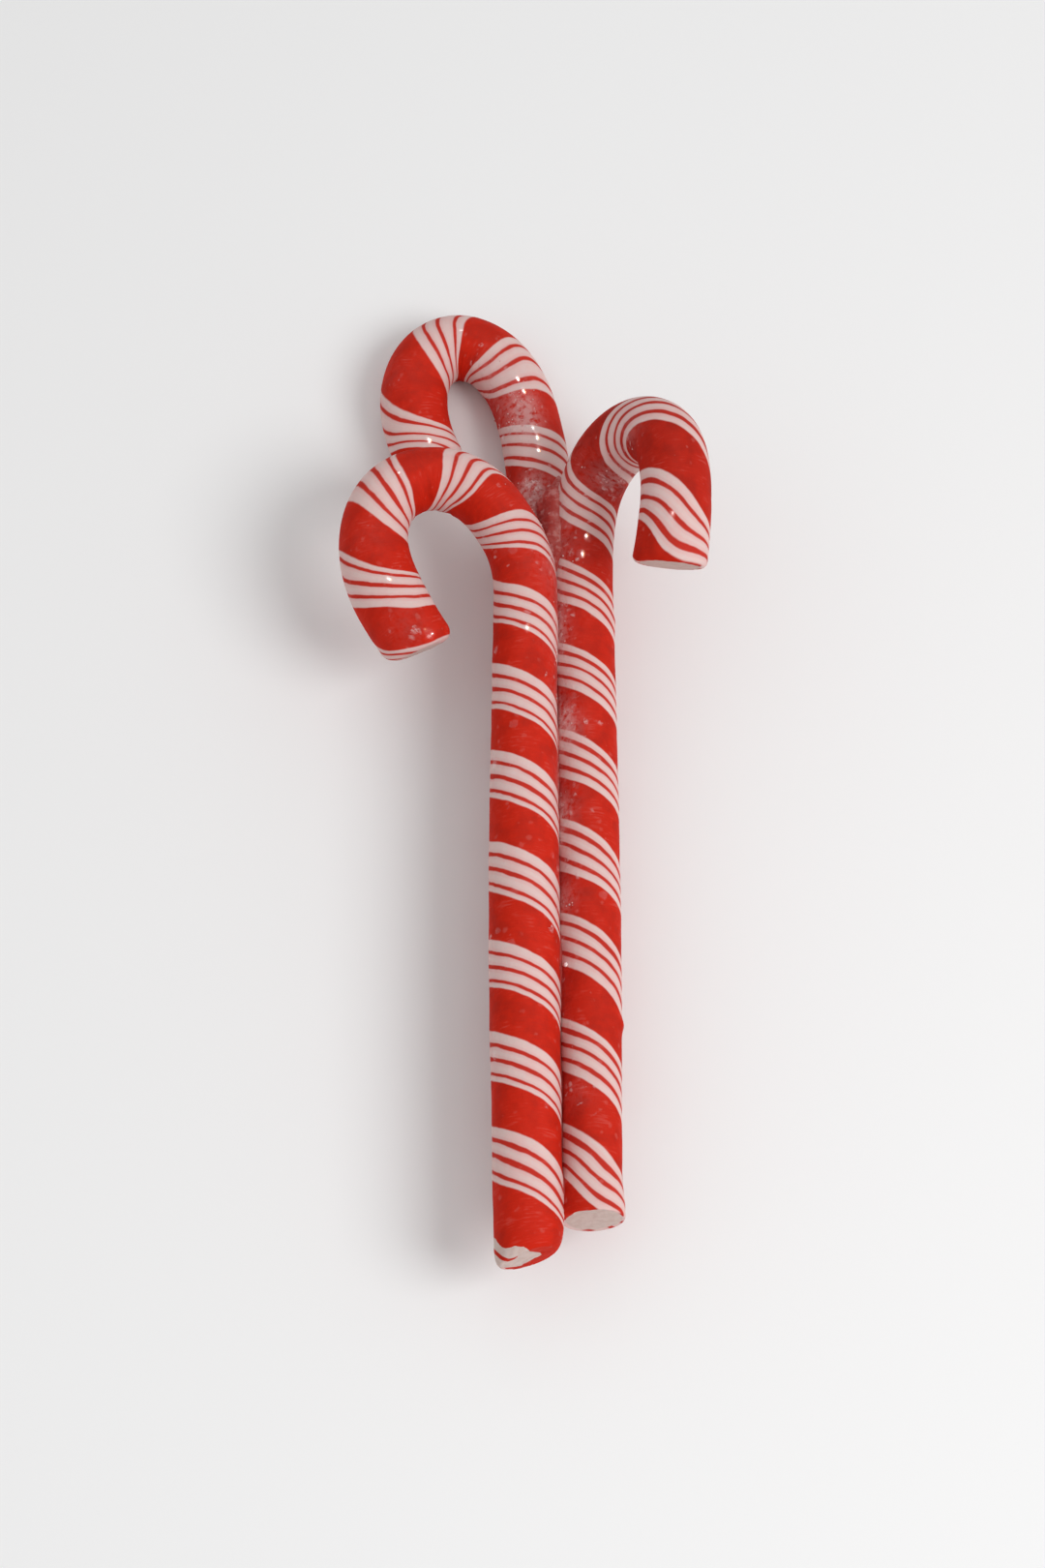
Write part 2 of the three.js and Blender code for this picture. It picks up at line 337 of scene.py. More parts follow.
def rings_to_faces(rings, sides):
    """Faces of a closed skin: a first point, rings of points, and a last point."""
    faces = [(0, 1 + (k + 1) % sides, 1 + k) for k in range(sides)]
    for ring in range(rings - 1):
        base = 1 + ring * sides
        for k in range(sides):
            after = (k + 1) % sides
            faces.append((base + k, base + after, base + sides + after, base + sides + k))
    base = 1 + (rings - 1) * sides
    last = base + sides
    faces += [(base + k, base + (k + 1) % sides, last) for k in range(sides)]
    return faces


def set_attribute(mesh, name, kind, domain, values):
    """A named value at each point or corner of a mesh, for its material."""
    made = mesh.attributes.new(name, kind, domain)
    field = "vector" if kind == "FLOAT_VECTOR" else "value"
    made.data.foreach_set(field, np.asarray(values, np.float32).ravel())


def stations(cane):
    """Distance and share of the radius of each ring, from the middle of one cut face to the other's."""
    inner = np.arange(1, FACE_RINGS) / FACE_RINGS
    edge = (np.arange(EDGE_RINGS) / EDGE_RINGS) ** 2
    foot_edge = edge * cane.foot_round
    tip_edge = cane.length - edge[::-1] * cane.tip_round
    count = round((cane.length - cane.foot_round - cane.tip_round) / RING_STEP)
    body = np.linspace(cane.foot_round, cane.length - cane.tip_round, count + 1)
    s = np.concatenate([0 * inner, foot_edge, body, tip_edge, 0 * inner + cane.length])
    share = np.concatenate([inner, np.ones(len(foot_edge) + len(body) + len(tip_edge)), inner[::-1]])
    return s, share


def away_from(x, y, line):
    """Distance of points to a line of straight pieces, and the place on the line that is nearest."""
    nearest = np.full(np.shape(x), np.inf)
    place = np.zeros(np.shape(x))
    for k, ((x0, y0), (x1, y1)) in enumerate(zip(line[:-1], line[1:])):
        dx, dy = x1 - x0, y1 - y0
        t = np.clip(((x - x0) * dx + (y - y0) * dy) / (dx * dx + dy * dy), 0, 1)
        away = np.hypot(x - x0 - t * dx, y - y0 - t * dy)
        place = np.where(away < nearest, k + t, place)
        nearest = np.minimum(nearest, away)
    return nearest, place


def depth_inside(x, y, outline):
    """How deep points lie inside a closed outline, below 0 outside it."""
    inside = np.zeros(np.shape(x), bool)
    for (x0, y0), (x1, y1) in zip(outline, outline[1:] + outline[:1]):
        between = (y0 > y) != (y1 > y)
        crossing = x0 + (y - y0) * (x1 - x0) / (y1 - y0 if y1 != y0 else 1)
        inside ^= between & (x < crossing)
    away = away_from(x, y, outline + outline[:1])[0]
    return np.where(inside, away, -away)


def cut_faces(cane, s, share, radius, right, rise, ahead):
    """Depth inside the white core that a cut shows, and inside red skin drawn over it, in mm."""
    near_foot = s < TORN_REACH
    off_middle = np.hypot(right - cane.rim[0] * near_foot, rise - cane.rim[1] * near_foot)
    core = np.where(share < 1, radius - off_middle - SKIN, -1.0)
    core = core + layers(np.stack([right, rise, s], -1), SKIN_RAGGED) * (share < 1)
    over = np.full(np.shape(s), -1.0)
    if cane.name == "cane_left":
        seen = SEEN_AHEAD * ahead + SEEN_UP * rise
        torn = depth_inside(right, seen, TORN_CORE)
        away, place = away_from(right, seen, RED_SLIVER)
        sliver = np.interp(place, np.arange(len(SLIVER_WIDTH)), SLIVER_WIDTH) - away
        foot = near_foot & ((rise > TORN_UNDER) | (share < 1))
        core = np.where(foot, torn, core)
        over = np.where(foot, np.where(share < 1, np.maximum(sliver, -torn), sliver), over)
    return core, over


def patches(s, angle, radius, places):
    """Sum of soft round patches on the skin, each given as [distance, angle, reach, strength]."""
    total = np.zeros_like(s)
    for at, side, reach, strength in places:
        turned = (angle - math.radians(side) + math.pi) % TAU - math.pi
        away = np.hypot(s - at, turned * radius)
        total += strength * np.exp(-away**2 / reach**2)
    return total


def relief(cane, s, angle, turn, straight, radius):
    """How far the surface stands proud of the plain tube, in mm."""
    waves = layers(straight, SKIN_WAVES)
    twist = STRIPE_HEIGHT * np.cos(TAU * turn)
    for place, width in cane.lines:
        across = ((turn + GROUP / 2) % 1) / GROUP - place
        twist = twist - LINE_DEPTH * np.exp(-(across / width) ** 2)
    inside = smooth((np.sin(angle) - 0.55) / 0.35)
    squeezed = smooth((cane.curvature(s) - CREASE_BEND) / 0.05)
    creases = inside * squeezed * CREASE_HEIGHT * noise(straight * (1, 0.25, 0.25), 0.75, 5.3)
    wet = tuple((at, side, WET_REACH, WET_HEIGHT) for at, side in cane.wet)
    return waves + twist + creases + patches(s, angle, radius, cane.lumps + wet)


def slant(cane, s, right, rise):
    """How far ahead the slanting cuts move the points near them."""
    near_foot = np.clip(1 - s / CUT_REACH, 0, None)
    near_tip = np.clip(1 - (cane.length - s) / CUT_REACH, 0, None)
    at_foot = cane.foot_cut[0] * right + cane.foot_cut[1] * rise
    at_tip = cane.tip_cut[0] * right + cane.tip_cut[1] * rise
    return near_tip * at_tip - near_foot * at_foot


def meeting(points, others):
    """How far the skin swells at points that lie close to other canes."""
    gap = gap_to(points, others).clip(0)
    return np.minimum(MEETING_SWELL * np.exp(-gap / MEETING_REACH), gap / 2 + MEETING_PRESS)


def make_cane(cane):
    """A cane's skin and cut faces, with what its material needs to know at each point."""
    s, share = stations(cane)
    ring_angle = np.arange(SIDES) * TAU / SIDES - math.pi
    s_all, angle = (v.ravel() for v in np.meshgrid(s, ring_angle, indexing="ij"))
    share_all = np.repeat(share, SIDES)
    middle, along, across = cane.centre(s_all)
    radius = cane.radius(s_all)
    turn = cane.spiral(s_all, angle)
    straight = np.stack([s_all, radius * share_all * np.sin(angle), radius * share_all * np.cos(angle)], -1)
    face = share_all < 1
    proud = np.where(face, 0, relief(cane, s_all, angle, turn, straight, radius))
    out = (radius + proud) * share_all
    right = out * np.sin(angle) * cane.hand
    rise = out * np.cos(angle)
    shift = slant(cane, s_all, right, rise) + np.where(face, layers(straight, FACE_ROUGH), 0)
    points = middle + across * right[:, None] + cane.axes[:, 2] * rise[:, None] + along * shift[:, None]
    others = [name for name in canes if name != cane.name]
    swell = meeting(points, others) * share_all**4
    points = points + cane.outward(across, angle) * swell[:, None]
    points[:, 2] = points[:, 2].clip(0)

    ends = [points[:SIDES].mean(0), points[-SIDES:].mean(0)]
    points = np.concatenate([[ends[0]], points, [ends[1]]])
    piece = new_piece(cane.name + "_candy", points, rings_to_faces(len(s), SIDES), cane.name)
    mesh = piece.data
    core, over = cut_faces(cane, s_all, share_all, radius, right, rise, s_all + shift)
    wet = [(at, side, WET_REACH, 1) for at, side in cane.wet]
    frost = with_ends(patches(s_all, angle, radius, cane.frost))
    frost = frost_at(points, gap_to(points, others)) + frost
    set_attribute(mesh, "straight", "FLOAT_VECTOR", "POINT", with_ends(straight))
    set_attribute(mesh, "core", "FLOAT", "POINT", with_ends(core))
    set_attribute(mesh, "over", "FLOAT", "POINT", with_ends(over))
    set_attribute(mesh, "deep", "FLOAT", "POINT", with_ends(profile(cane.deep, s_all / cane.length)))
    set_attribute(mesh, "wet", "FLOAT", "POINT", with_ends(patches(s_all, angle, radius, wet)))
    set_attribute(mesh, "frost", "FLOAT", "POINT", np.clip(frost, 0, 1))
    corner_angle = stripe_corners(mesh, cane, s)
    lay_out_map(mesh, s, share, cane.length, corner_angle)
    return piece


def with_ends(values):
    """The values with one more at each end, for the middles of the cut faces."""
    return np.concatenate([values[:SIDES].mean(0)[None], values, values[-SIDES:].mean(0)[None]])


def corner_layout(mesh):
    """Each corner's vertex, the corners in each face and its first one, and which lie at an end's middle."""
    vertex = np.empty(len(mesh.loops), int)
    mesh.loops.foreach_get("vertex_index", vertex)
    total = np.array([len(p.vertices) for p in mesh.polygons])
    start = np.cumsum(total) - total
    lone = (vertex == 0) | (vertex == len(mesh.vertices) - 1)
    return vertex, total, start, lone


def stripe_corners(mesh, cane, s):
    """The spiral's turns, kept at the corners for a clean seam. Returns the corners' angles."""
    vertex, total, start, lone = corner_layout(mesh)
    ring = np.clip((vertex - 1) // SIDES, 0, len(s) - 1)
    column = (vertex - 1) % SIDES
    highest = np.maximum.reduceat(np.where(lone, -1, column), start)
    lowest = np.minimum.reduceat(np.where(lone, SIDES, column), start)
    crosses = np.repeat((highest == SIDES - 1) & (lowest == 0), total)
    angle = (column + SIDES * (crosses & (column == 0))) * TAU / SIDES - math.pi
    middle_angle = (np.repeat(highest, total) + 0.5) * TAU / SIDES - math.pi
    angle = np.where(lone, middle_angle, angle)
    ring = np.where(vertex == 0, 0, ring)
    set_attribute(mesh, "turn", "FLOAT", "CORNER", cane.spiral(s[ring], angle))
    return angle.astype(np.float32)


MAP_ROWS, MAP_MARGIN = 3, 0.004     # rows that the skin is cut in, and the space round each
MAP_SKIN = 0.86                     # the skin's share of the map's width
MAP_DISC_AT = (0.93, 0.25, 0.75)    # the cut faces: across, and up for the foot's and the tip's
MAP_DISC_SIZE = 0.065


def lay_out_map(mesh, s, share, length, angle):
    """The bake's map: the skin cut in rows, and the two cut faces beside them."""
    vertex, total, start, lone = corner_layout(mesh)
    ring = np.where(vertex == 0, 0, np.clip((vertex - 1) // SIDES, 0, len(s) - 1))
    first_ring = np.repeat(np.minimum.reduceat(ring, start), total)
    body = (share[first_ring] == 1) & (share[ring] == 1)
    fan = np.repeat(np.maximum.reduceat(lone, start), total)
    on_body = np.repeat(np.logical_and.reduceat(body, start), total) & ~fan
    nearest = np.minimum.reduceat(s[ring], start)
    furthest = np.maximum.reduceat(s[ring], start)
    middle_s = np.repeat((nearest + furthest) / 2, total)
    row = np.clip(np.floor(middle_s / length * MAP_ROWS), 0, MAP_ROWS - 1)
    u = MAP_MARGIN + (s[ring] / length * MAP_ROWS - row) * (MAP_SKIN - 2 * MAP_MARGIN)
    v = (row + MAP_MARGIN + (angle / TAU + 0.5) * (1 - 3 * MAP_MARGIN)) / MAP_ROWS
    disc = np.where(lone, 0, share[ring]) * MAP_DISC_SIZE
    across, foot_up, tip_up = MAP_DISC_AT
    disc_u = across + disc * np.sin(angle)
    disc_v = np.where(middle_s < length / 2, foot_up, tip_up) + disc * np.cos(angle)
    places = np.stack([np.where(on_body, u, disc_u), np.where(on_body, v, disc_v)], -1)
    layer = mesh.uv_layers.new(name="OFBake")
    layer.data.foreach_set("uv", places.astype(np.float32).ravel())


# ---- frost and glaze ---------------------------------------------------------------------

JOINT = np.array([5.6, 44, 17])     # where the three hooks part
JOINT_REACH = np.array([7, 15, 11])
JOINT_FROST = 0.3
CREVICE_FROST = 0.7
CREVICE_REACH = 1.1                 # how far out of a crevice its frost reaches
FEET_FROST = 0.15                   # the share of it that is left at the feet
FEET_AT, FEET_FADE = -70, 60        # along y


def frost_at(points, crevice):
    """How thick the frost lies, from 0 to 1: in the crevices, and round the joint."""
    in_crevice = np.exp(-np.clip(crevice, 0, None) / CREVICE_REACH)
    along = FEET_FROST + (1 - FEET_FROST) * smooth((points[:, 1] - FEET_AT) / FEET_FADE)
    round_joint = np.exp(-(((points - JOINT) / JOINT_REACH) ** 2).sum(1))
    return CREVICE_FROST * in_crevice * along + JOINT_FROST * round_joint


GLAZE_FROM = np.array([4.8, 0.8, 10.6])
GLAZE_TO = np.array([5.6, 50.8, 13])
GLAZE_THICKNESS = ((0, 0.6), (0.2, 1), (0.45, 1.7), (0.7, 4), (0.88, 3.6), (1, 0.8))
GLAZE_SIDES = 72
GLAZE_STEP = 0.35
GLAZE_LUMP = 0.3           # height of its lumps
SEAM_SIDES = 28
SEAM_THICKNESS = ((0, 0.2), (0.06, 0.28), (0.8, 0.28), (1, 0.2))
SEAM_WAVER = (0.3, 0.28, 5.5)       # noise in its thickness: height, scale and shift
SEAM_WIDER, SEAM_HIGHER = 1.3, 1.4  # how far it spreads against its thickness
SEAM_SINK = 0.16           # how far it lies down in the crevice
SEAM_LUMP = 0.1
SEAM_FROM, SEAM_TO = -79, 17        # along y


def skin_of_bead(middle, radius, sides, lump, out_x, out_z):
    """Points of a lumpy bead round a line of middles."""
    angle = np.tile(np.arange(sides) * TAU / sides, len(middle))
    rows = np.repeat(np.arange(len(middle)), sides)
    out = np.stack([np.cos(angle) * out_x, 0 * angle, -np.sin(angle) * out_z], -1)
    points = middle[rows] + out * radius[rows, None]
    swell = lump * noise(points, 0.7, 1.3) + lump / 2 * noise(points, 1.7, 6.1)
    return points + out * (swell * smooth(radius[rows] / lump / 2))[:, None]


def closed_bead(name, middle, radius, sides, lump, replaces=None, out_x=1.0, out_z=1.0):
    """A piece of glaze: the bead's skin, closed at both ends."""
    ring = skin_of_bead(middle[1:-1], radius[1:-1], sides, lump, out_x, out_z)
    points = np.concatenate([middle[:1], ring, middle[-1:]])
    return new_piece(name, points, rings_to_faces(len(middle) - 2, sides), replaces)


def taper(share, power):
    """Thickness that falls to 0 at both ends, the later the higher the power."""
    return (1 - np.abs(2 * share - 1) ** power) ** 0.5


def make_bead():
    """The glaze that holds the three canes together."""
    rings = round(np.linalg.norm(GLAZE_TO - GLAZE_FROM) / GLAZE_STEP)
    share = np.linspace(0, 1, rings)
    middle = GLAZE_FROM + (GLAZE_TO - GLAZE_FROM) * share[:, None]
    radius = profile(GLAZE_THICKNESS, share) * taper(share, 12)
    return closed_bead("glaze_bead", middle, radius, GLAZE_SIDES, GLAZE_LUMP, "set_glaze")


def make_seam():
    """A thin line of glaze in the crevice between the two upper stems."""
    y = np.arange(SEAM_FROM, SEAM_TO, GLAZE_STEP)
    sides = []
    for name in ("cane_left", "cane_right"):
        cane = canes[name]
        s = np.arange(0, cane.stem + 20, 0.5)
        middle = cane.centre(s)[0]
        place = np.stack([np.interp(y, middle[:, 1], middle[:, k]) for k in range(3)], -1)
        sides.append((place, np.interp(y, middle[:, 1], profile(cane.thickness, s / cane.length))))
    (left, left_radius), (right, right_radius) = sides
    apart = np.linalg.norm(right - left, axis=1)
    toward = (right - left) / apart[:, None]
    share = np.linspace(0, 1, len(y))
    waver = 1 + layers(np.stack([y, 0 * y, 0 * y], -1), (SEAM_WAVER,))
    radius = profile(SEAM_THICKNESS, share) * waver
    reach_left, reach_right = left_radius + radius, right_radius + radius
    forward = (apart**2 + reach_left**2 - reach_right**2) / (2 * apart)
    lift = np.sqrt(np.clip(reach_left**2 - forward**2, 0, None)) - SEAM_SINK
    above = np.stack([-toward[:, 2], 0 * y, toward[:, 0]], -1)
    middle = left + toward * forward[:, None] + above * lift[:, None]
    radius = radius * taper(share, 16)
    return closed_bead(
        "glaze_seam", middle, radius, SEAM_SIDES, SEAM_LUMP, out_x=SEAM_WIDER, out_z=SEAM_HIGHER
    )


def on_skin(cane, s, angle):
    """Points on a cane's skin, and the directions out of it."""
    middle, _, across = cane.centre(s)
    outward = cane.outward(across, angle)
    return middle + outward * cane.radius(s)[:, None], outward


GRAIN_COUNT = 220          # at least this many
GRAIN_TRIES = 400          # places that are drawn at once on one cane
GRAIN_FROM, GRAIN_TO = 15, 12       # clear of the foot and the tip
GRAIN_SIDE = 1.9           # how far down the sides they lie, in radians
GRAIN_CLEAR = 0.2          # their gap to the other canes
GRAIN_STICK = 5            # the canes' radius, near enough for them
GRAIN_SIZE = (0.07, 0.17)
GRAIN_SIDES, GRAIN_ROWS = 8, 5


def grain_places(chance):
    """Places and sizes of the grains, more of them where the frost is thick."""
    places, sizes = [], []
    while len(sizes) < GRAIN_COUNT:
        name = list(canes)[chance.integers(3)]
        cane = canes[name]
        s = chance.uniform(GRAIN_FROM, cane.length - GRAIN_TO, GRAIN_TRIES)
        angle = chance.uniform(-GRAIN_SIDE, GRAIN_SIDE, GRAIN_TRIES)
        place, _ = on_skin(cane, s, angle)
        others = gap_to(place, [other for other in canes if other != name])
        weight = frost_at(place, others) + patches(s, angle, GRAIN_STICK, cane.frost)
        keep = (weight**1.5 > chance.uniform(0.05, 9, GRAIN_TRIES)) & (others > GRAIN_CLEAR)
        places += list(place[keep])
        sizes += list(chance.uniform(*GRAIN_SIZE, keep.sum()))
    return places, sizes


def grain_points(chance):
    """Points of one uneven grain, about 1 in radius."""
    angle = np.arange(GRAIN_SIDES) * TAU / GRAIN_SIDES
    tilt = np.array(Euler(chance.uniform(0, TAU, 3)).to_matrix())
    rows = [np.array([[0, 0, -1.0]])]
    for k in range(1, GRAIN_ROWS):
        level = math.pi * k / GRAIN_ROWS
        reach, height = math.sin(level), -math.cos(level)
        ring = np.stack([reach * np.cos(angle), reach * np.sin(angle), height + 0 * angle], 1)
        rows.append(ring * chance.uniform(0.85, 1.15, (GRAIN_SIDES, 1)))
    rows.append(np.array([[0, 0, 1.0]]))
    return np.concatenate(rows) * chance.uniform(0.75, 1.2, 3) @ tilt.T


def make_grains():
    """Grains of sugar on the frosted places."""
    chance = np.random.default_rng(11)
    grains = list(zip(*grain_places(chance)))
    points = np.concatenate([grain_points(chance) * size + place for place, size in grains])
    one = rings_to_faces(GRAIN_ROWS - 1, GRAIN_SIDES)
    each = len(points) // len(grains)
    faces = [tuple(each * k + v for v in face) for k in range(len(grains)) for face in one]
    return new_piece("frost_grains", points, faces)


DROP_AT, DROP_SIDE = 40.1, -3       # on the right cane, beside the crevice
DROP_SIZE = 0.42
DROP_RISE = 0.2            # how far its middle stands off the skin, as a share of its size
DROP_LUMP = 0.02
DROP_SIDES, DROP_ROWS = 24, 16


def make_drop():
    """A drop of clear sugar that set on the right cane's skin. Its pale colours are a painted glint."""
    (place,), (outward,) = on_skin(canes["cane_right"], np.array([DROP_AT]), np.radians([DROP_SIDE]))
    share = np.linspace(-1, 1, DROP_ROWS + 1)
    middle = place + outward * DROP_SIZE * DROP_RISE + share[:, None] * (0, DROP_SIZE, 0)
    radius = DROP_SIZE * np.sqrt(np.clip(1 - share**2, 0, None))
    return closed_bead("sugar_drop_painted_glint", middle, radius, DROP_SIDES, DROP_LUMP)


# ---- materials ---------------------------------------------------------------------------

class Shader:
    """A material's nodes, put together by short calls. A value is a number, a colour or a socket."""

    def __init__(self, name):
        self.material = bpy.data.materials.new(name)
        self.material.use_nodes = True
        self.tree = self.material.node_tree
        self.surface = self.tree.nodes["Principled BSDF"]

    def put(self, socket, value):
        """Link another node's output to a socket, or set the value on it."""
        if isinstance(value, bpy.types.NodeSocket):
            self.tree.links.new(value, socket)
        else:
            socket.default_value = value

    def set(self, **inputs):
        """The surface's own inputs, with _ for a space in their names."""
        for name, value in inputs.items():
            self.put(self.surface.inputs[name.replace("_", " ")], value)

    def attribute(self, name, output="Fac"):
        """A value that the mesh carries."""
        node = self.tree.nodes.new("ShaderNodeAttribute")
        node.attribute_name = name
        return node.outputs[output]

    def math(self, operation, a, b=0.0, clamp=False):
        node = self.tree.nodes.new("ShaderNodeMath")
        node.operation = operation
        node.use_clamp = clamp
        self.put(node.inputs[0], a)
        self.put(node.inputs[1], b)
        return node.outputs[0]

    def times(self, a, b, clamp=False):
        return self.math("MULTIPLY", a, b, clamp)

    def plus(self, a, b, clamp=False):
        return self.math("ADD", a, b, clamp)

    def minus(self, a, b, clamp=False):
        return self.math("SUBTRACT", a, b, clamp)

    def ramp(self, value, low, high, to_low=0.0, to_high=1.0):
        """Smooth step of value between low and high."""
        node = self.tree.nodes.new("ShaderNodeMapRange")
        node.interpolation_type = "SMOOTHSTEP"
        for k, v in enumerate((value, low, high, to_low, to_high)):
            self.put(node.inputs[k], v)
        return node.outputs[0]

    def stretch(self, vector, factors):
        """The vector times a factor along each axis."""
        node = self.tree.nodes.new("ShaderNodeVectorMath")
        node.operation = "MULTIPLY"
        self.put(node.inputs[0], vector)
        self.put(node.inputs[1], factors)
        return node.outputs[0]

    def place_in_mm(self):
        """The place on the piece, in mm."""
        node = self.tree.nodes.new("ShaderNodeTexCoord")
        return self.stretch(node.outputs["Object"], (1 / MM, 1 / MM, 1 / MM))

    def noise(self, vector, scale, detail=2.0, rough=0.5):
        node = self.tree.nodes.new("ShaderNodeTexNoise")
        self.put(node.inputs["Vector"], vector)
        self.put(node.inputs["Scale"], scale)
        self.put(node.inputs["Detail"], detail)
        self.put(node.inputs["Roughness"], rough)
        return node.outputs["Fac"]

    def spots(self, vector, scale, share, sizes, soft):
        """Spots in this share of the cells, of these smallest and largest sizes."""
        node = self.tree.nodes.new("ShaderNodeTexVoronoi")
        self.put(node.inputs["Vector"], vector)
        self.put(node.inputs["Scale"], scale)
        split = self.tree.nodes.new("ShaderNodeSeparateColor")
        self.put(split.inputs[0], node.outputs["Color"])
        here = self.math("LESS_THAN", split.outputs[0], share)
        size = self.plus(self.times(split.outputs[1], sizes[1] - sizes[0]), sizes[0])
        away = self.math("DIVIDE", node.outputs["Distance"], size)
        strength = self.plus(self.times(split.outputs[2], 0.6), 0.4)
        return self.times(self.times(self.ramp(away, 1 + soft, 1 - soft), here), strength)

    def shaken(self, vector, scale, reach):
        """The vector moved about by noise, so that what is drawn with it is uneven."""
        noise = self.tree.nodes.new("ShaderNodeTexNoise")
        self.put(noise.inputs["Vector"], vector)
        self.put(noise.inputs["Scale"], scale)
        self.put(noise.inputs["Detail"], 2.0)
        node = self.tree.nodes.new("ShaderNodeVectorMath")
        node.operation = "MULTIPLY_ADD"
        self.put(node.inputs[0], noise.outputs["Color"])
        self.put(node.inputs[1], (reach, reach, reach))
        self.put(node.inputs[2], vector)
        return node.outputs[0]

    def mix(self, factor, a, b):
        """Colour a, with this share of colour b."""
        node = self.tree.nodes.new("ShaderNodeMix")
        node.data_type = "RGBA"
        self.put(node.inputs[0], factor)
        self.put(node.inputs[6], a)
        self.put(node.inputs[7], b)
        return node.outputs[2]

    def bump(self, height, depth):
        """Fine relief, this many mm deep at a height of 1."""
        node = self.tree.nodes.new("ShaderNodeBump")
        self.put(node.inputs["Height"], height)
        node.inputs["Distance"].default_value = depth * MM
        self.put(self.surface.inputs["Normal"], node.outputs[0])


RED = (0.56, 0.017, 0.005, 1)
DEEP_RED = (0.30, 0.011, 0.005, 1)
LINE_RED = (0.50, 0.035, 0.025, 1)
WHITE = (0.70, 0.50, 0.475, 1)
PINK_WHITE = (0.70, 0.36, 0.35, 1)
BLOOM = (0.66, 0.24, 0.21, 1)
CORE = (0.61, 0.48, 0.44, 1)
CORE_SHADE = (0.56, 0.42, 0.38, 1)
FROST = (0.72, 0.46, 0.45, 1)
# Painted glint: the drop's pale pink and near-white stand in for the light that it catches.
PAINTED_GLINT_PINK = (0.8, 0.62, 0.6, 1)
PAINTED_GLINT_WHITE = (0.9, 0.82, 0.8, 1)
GLAZE_DARK = (0.38, 0.032, 0.025, 1)
GLAZE_PALE = (0.58, 0.25, 0.235, 1)
SOFT = 0.02                # half the width of a stripe's soft edge, as a share of a group


def stripes(sh, cane, straight):
    """How white the skin is, how much of a thin red line it holds, and the red that bleeds from it."""
    slow = sh.noise(straight, 0.16, 1.0)
    fast = sh.noise(straight, 0.6, 1.0)
    wander = sh.plus(sh.times(sh.minus(slow, 0.5), 0.035), sh.times(sh.minus(fast, 0.5), 0.014))
    place = sh.math("FRACT", sh.plus(sh.plus(sh.attribute("turn"), wander), 0.5))
    inside = sh.plus(sh.times(sh.minus(place, 0.5), 1 / GROUP), 0.5)
    white = sh.times(sh.ramp(inside, -SOFT, SOFT), sh.ramp(inside, 1 + SOFT, 1 - SOFT))
    lines, bleed = 0.0, 0.0
    for at, width in cane.lines:
        away = sh.math("ABSOLUTE", sh.minus(inside, at))
        half = sh.plus(sh.times(slow, width * 0.5), width * 0.25)
        lines = sh.plus(lines, sh.ramp(sh.minus(away, half), SOFT * 0.8, -SOFT * 0.8), clamp=True)
        bleed = sh.plus(bleed, sh.ramp(away, width + 0.03, width), clamp=True)
    return sh.minus(white, lines, clamp=True), lines, bleed


def frost_cloud(sh, straight, grain):
    """How much frost covers the skin: flakes, smaller crumbs and a haze."""
    frost = sh.attribute("frost")
    clumps = sh.shaken(straight, 0.7, 1.3)
    flakes = sh.spots(clumps, 0.65, sh.times(frost, 0.85), (0.12, 0.4), 0.85)
    flakes = sh.times(flakes, sh.ramp(sh.noise(straight, 2.6, 1.0), 0.4, 0.58, 0.15, 1.0))
    crumbs = sh.spots(clumps, 1.0, sh.times(frost, 0.45), (0.12, 0.36), 0.8)
    haze = sh.times(sh.times(frost, sh.ramp(grain, 0.25, 0.6)), sh.plus(sh.times(frost, 0.45), 0.1))
    return sh.plus(sh.plus(sh.times(flakes, 0.75), sh.times(crumbs, 0.5)), haze, clamp=True)


